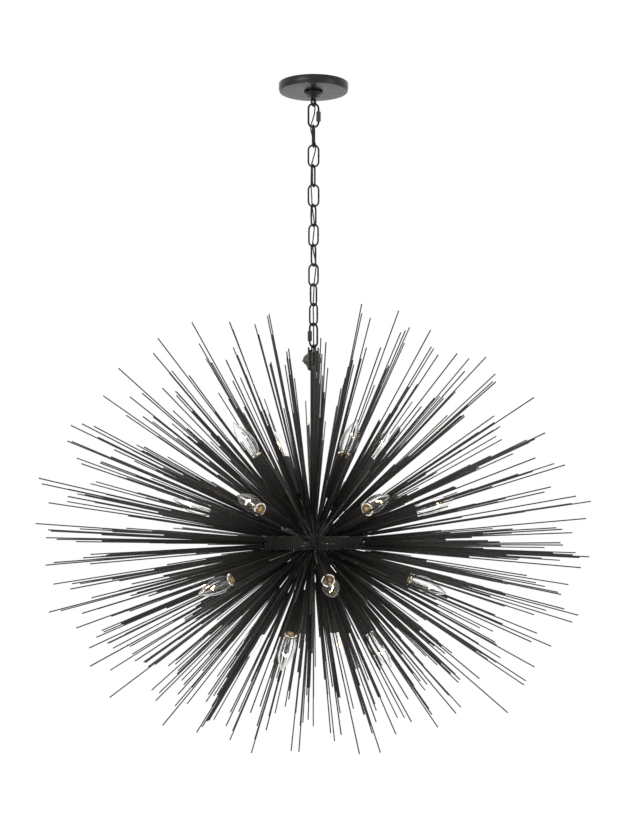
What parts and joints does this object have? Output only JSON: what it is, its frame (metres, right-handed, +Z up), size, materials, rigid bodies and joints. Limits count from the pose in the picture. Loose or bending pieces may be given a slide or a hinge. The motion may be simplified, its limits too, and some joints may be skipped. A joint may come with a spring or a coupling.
{
  "type": "chandelier",
  "caption": "Chain-hung chandelier: a burst of thin dark iron rods round a small hub, with clear candle bulbs standing out between the rods.",
  "frame": {"origin": "centre of the crossbar's face against the ceiling, on the hanging axis", "axes": "+Z up along the hanging axis, -Y toward the viewer of the picture, +X to the viewer's right"},
  "size_m": [1.1174, 1.0889, 1.359],
  "materials": {
    "iron": "satin",
    "rod_iron": "satin",
    "sleeve_black": "satin",
    "canopy_finish": "satin",
    "chain_iron": "satin",
    "zinc_steel": "satin",
    "lampholder": "satin",
    "wire_cap": "matte",
    "lead": "matte",
    "cord": "matte",
    "bulb_glass": "clear gloss"
  },
  "bodies": {
    "ceiling_mount": {"crossbar": "zinc_steel", "threaded_nipple": "zinc_steel", "nipple_locknut": "zinc_steel", "canopy_loop": "canopy_finish"},
    "collar": {"collar_ring": "canopy_finish"},
    "canopy": {"canopy": "canopy_finish"},
    "link_01": {"link_01": "chain_iron"},
    "link_02": {"link_02": "chain_iron"},
    "link_03": {"link_03": "chain_iron"},
    "link_04": {"link_04": "chain_iron"},
    "link_05": {"link_05": "chain_iron"},
    "link_06": {"link_06": "chain_iron"},
    "link_07": {"link_07": "chain_iron"},
    "link_08": {"link_08": "chain_iron"},
    "link_09": {"link_09": "chain_iron"},
    "link_10": {"link_10": "chain_iron"},
    "link_11": {"link_11": "chain_iron"},
    "link_12": {"link_12": "chain_iron"},
    "upper_link_nut": {"upper_link_nut": "chain_iron"},
    "lower_link_nut": {"lower_link_nut": "chain_iron"},
    "fixture": {"power_cord": "cord", "fixture_loop": "iron", "knuckle": "iron", "stem": "iron", "hub_upper_shell": "iron", "hub_lower_shell": "iron", "hub_band": "iron", "hub_band_pins": "iron", "tie_rod": "zinc_steel", "bottom_nut": "iron", "wire_connectors": "wire_cap", "socket_leads": "lead", "socket_arms": "iron", "socket_sleeves": "sleeve_black", "lampholders": "lampholder", "rods_top": "rod_iron", "rods_upper": "rod_iron", "rods_equator": "rod_iron", "rods_lower": "rod_iron", "rods_bottom": "rod_iron"},
    "bulb_01": {"bulb_01": "bulb_glass"},
    "bulb_02": {"bulb_02": "bulb_glass"},
    "bulb_03": {"bulb_03": "bulb_glass"},
    "bulb_04": {"bulb_04": "bulb_glass"},
    "bulb_05": {"bulb_05": "bulb_glass"},
    "bulb_06": {"bulb_06": "bulb_glass"},
    "bulb_07": {"bulb_07": "bulb_glass"},
    "bulb_08": {"bulb_08": "bulb_glass"},
    "bulb_09": {"bulb_09": "bulb_glass"},
    "bulb_10": {"bulb_10": "bulb_glass"},
    "bulb_11": {"bulb_11": "bulb_glass"},
    "bulb_12": {"bulb_12": "bulb_glass"},
    "bulb_13": {"bulb_13": "bulb_glass"},
    "bulb_14": {"bulb_14": "bulb_glass"},
    "bulb_15": {"bulb_15": "bulb_glass"},
    "bulb_16": {"bulb_16": "bulb_glass"},
    "bulb_17": {"bulb_17": "bulb_glass"},
    "bulb_18": {"bulb_18": "bulb_glass"},
    "bulb_19": {"bulb_19": "bulb_glass"},
    "bulb_20": {"bulb_20": "bulb_glass"}
  },
  "joints": [
    {"name": "link_12_to_fixture", "type": "hinge", "parent": "link_12", "child": "fixture", "pos_m": [0, 0, -0.53445], "axis": [-0.7431, -0.6691, 0], "range_deg": [-25, 25], "deforming": ["power_cord"]},
    {"name": "canopy_loop_to_link_01", "type": "hinge", "parent": "ceiling_mount", "child": "link_01", "pos_m": [0, 0, -0.0447], "axis": [0.4695, 0.8829, 0], "range_deg": [-25, 25], "deforming": ["power_cord"]},
    {"name": "collar_slide", "type": "slide", "parent": "ceiling_mount", "child": "collar", "axis": [0, 0, -1], "range_m": [0, 0.012]},
    {"name": "canopy_turn", "type": "hinge", "parent": "collar", "child": "canopy", "pos_m": [0, 0, -0.0166], "axis": [0, 0, 1], "continuous": true},
    {"name": "upper_nut_slide", "type": "slide", "parent": "link_01", "child": "upper_link_nut", "axis": [0, 0, 1], "range_m": [0, 0.006]},
    {"name": "lower_nut_slide", "type": "slide", "parent": "link_12", "child": "lower_link_nut", "axis": [0, 0, 1], "range_m": [0, 0.006]},
    {"name": "link_01_to_link_02", "type": "hinge", "parent": "link_01", "child": "link_02", "pos_m": [0, 0, -0.0882], "axis": [1, 0, 0], "range_deg": [-25, 25], "deforming": ["power_cord"]},
    {"name": "link_02_to_link_03", "type": "hinge", "parent": "link_02", "child": "link_03", "pos_m": [0, 0, -0.12825], "axis": [0.1736, 0.9848, 0], "range_deg": [-25, 25], "deforming": ["power_cord"]},
    {"name": "link_03_to_link_04", "type": "hinge", "parent": "link_03", "child": "link_04", "pos_m": [0, 0, -0.1685], "axis": [-1, 0, 0], "range_deg": [-25, 25], "deforming": ["power_cord"]},
    {"name": "link_04_to_link_05", "type": "hinge", "parent": "link_04", "child": "link_05", "pos_m": [0, 0, -0.20875], "axis": [-0.2588, -0.9659, 0], "range_deg": [-25, 25], "deforming": ["power_cord"]},
    {"name": "link_05_to_link_06", "type": "hinge", "parent": "link_05", "child": "link_06", "pos_m": [0, 0, -0.249], "axis": [0.9986, -0.0523, 0], "range_deg": [-25, 25], "deforming": ["power_cord"]},
    {"name": "link_06_to_link_07", "type": "hinge", "parent": "link_06", "child": "link_07", "pos_m": [0, 0, -0.28925], "axis": [0.4384, 0.8988, 0], "range_deg": [-25, 25], "deforming": ["power_cord"]},
    {"name": "link_07_to_link_08", "type": "hinge", "parent": "link_07", "child": "link_08", "pos_m": [0, 0, -0.3295], "axis": [-0.891, 0.454, 0], "range_deg": [-25, 25], "deforming": ["power_cord"]},
    {"name": "link_08_to_link_09", "type": "hinge", "parent": "link_08", "child": "link_09", "pos_m": [0, 0, -0.36975], "axis": [-0.4067, -0.9135, 0], "range_deg": [-25, 25], "deforming": ["power_cord"]},
    {"name": "link_09_to_link_10", "type": "hinge", "parent": "link_09", "child": "link_10", "pos_m": [0, 0, -0.41], "axis": [0.8829, -0.4695, 0], "range_deg": [-25, 25], "deforming": ["power_cord"]},
    {"name": "link_10_to_link_11", "type": "hinge", "parent": "link_10", "child": "link_11", "pos_m": [0, 0, -0.45025], "axis": [0.5736, 0.8192, 0], "range_deg": [-25, 25], "deforming": ["power_cord"]},
    {"name": "link_11_to_link_12", "type": "hinge", "parent": "link_11", "child": "link_12", "pos_m": [0, 0, -0.4905], "axis": [-0.7314, 0.682, 0], "range_deg": [-25, 25], "deforming": ["power_cord"]},
    {"name": "bulb_01_out", "type": "slide", "parent": "fixture", "child": "bulb_01", "axis": [-0.5314, -0.2825, 0.7986], "range_m": [0, 0.022]},
    {"name": "bulb_02_out", "type": "slide", "parent": "fixture", "child": "bulb_02", "axis": [0.2825, -0.5314, 0.7986], "range_m": [0, 0.022]},
    {"name": "bulb_03_out", "type": "slide", "parent": "fixture", "child": "bulb_03", "axis": [0.5314, 0.2825, 0.7986], "range_m": [0, 0.022]},
    {"name": "bulb_04_out", "type": "slide", "parent": "fixture", "child": "bulb_04", "axis": [-0.2825, 0.5314, 0.7986], "range_m": [0, 0.022]},
    {"name": "bulb_05_out", "type": "slide", "parent": "fixture", "child": "bulb_05", "axis": [-0.4771, -0.8264, 0.299], "range_m": [0, 0.022]},
    {"name": "bulb_06_out", "type": "slide", "parent": "fixture", "child": "bulb_06", "axis": [0.4771, -0.8264, 0.299], "range_m": [0, 0.022]},
    {"name": "bulb_07_out", "type": "slide", "parent": "fixture", "child": "bulb_07", "axis": [0.9542, 0, 0.299], "range_m": [0, 0.022]},
    {"name": "bulb_08_out", "type": "slide", "parent": "fixture", "child": "bulb_08", "axis": [0.4771, 0.8264, 0.299], "range_m": [0, 0.022]},
    {"name": "bulb_09_out", "type": "slide", "parent": "fixture", "child": "bulb_09", "axis": [-0.4771, 0.8264, 0.299], "range_m": [0, 0.022]},
    {"name": "bulb_10_out", "type": "slide", "parent": "fixture", "child": "bulb_10", "axis": [-0.9542, 0, 0.299], "range_m": [0, 0.022]},
    {"name": "bulb_11_out", "type": "slide", "parent": "fixture", "child": "bulb_11", "axis": [0.1312, -0.9335, -0.3338], "range_m": [0, 0.022]},
    {"name": "bulb_12_out", "type": "slide", "parent": "fixture", "child": "bulb_12", "axis": [0.874, -0.3531, -0.3338], "range_m": [0, 0.022]},
    {"name": "bulb_13_out", "type": "slide", "parent": "fixture", "child": "bulb_13", "axis": [0.7428, 0.5803, -0.3338], "range_m": [0, 0.022]},
    {"name": "bulb_14_out", "type": "slide", "parent": "fixture", "child": "bulb_14", "axis": [-0.1312, 0.9335, -0.3338], "range_m": [0, 0.022]},
    {"name": "bulb_15_out", "type": "slide", "parent": "fixture", "child": "bulb_15", "axis": [-0.874, 0.3531, -0.3338], "range_m": [0, 0.022]},
    {"name": "bulb_16_out", "type": "slide", "parent": "fixture", "child": "bulb_16", "axis": [-0.7428, -0.5803, -0.3338], "range_m": [0, 0.022]},
    {"name": "bulb_17_out", "type": "slide", "parent": "fixture", "child": "bulb_17", "axis": [-0.2095, -0.5185, -0.829], "range_m": [0, 0.022]},
    {"name": "bulb_18_out", "type": "slide", "parent": "fixture", "child": "bulb_18", "axis": [0.5185, -0.2095, -0.829], "range_m": [0, 0.022]},
    {"name": "bulb_19_out", "type": "slide", "parent": "fixture", "child": "bulb_19", "axis": [0.2095, 0.5185, -0.829], "range_m": [0, 0.022]},
    {"name": "bulb_20_out", "type": "slide", "parent": "fixture", "child": "bulb_20", "axis": [-0.5185, 0.2095, -0.829], "range_m": [0, 0.022]}
  ]
}
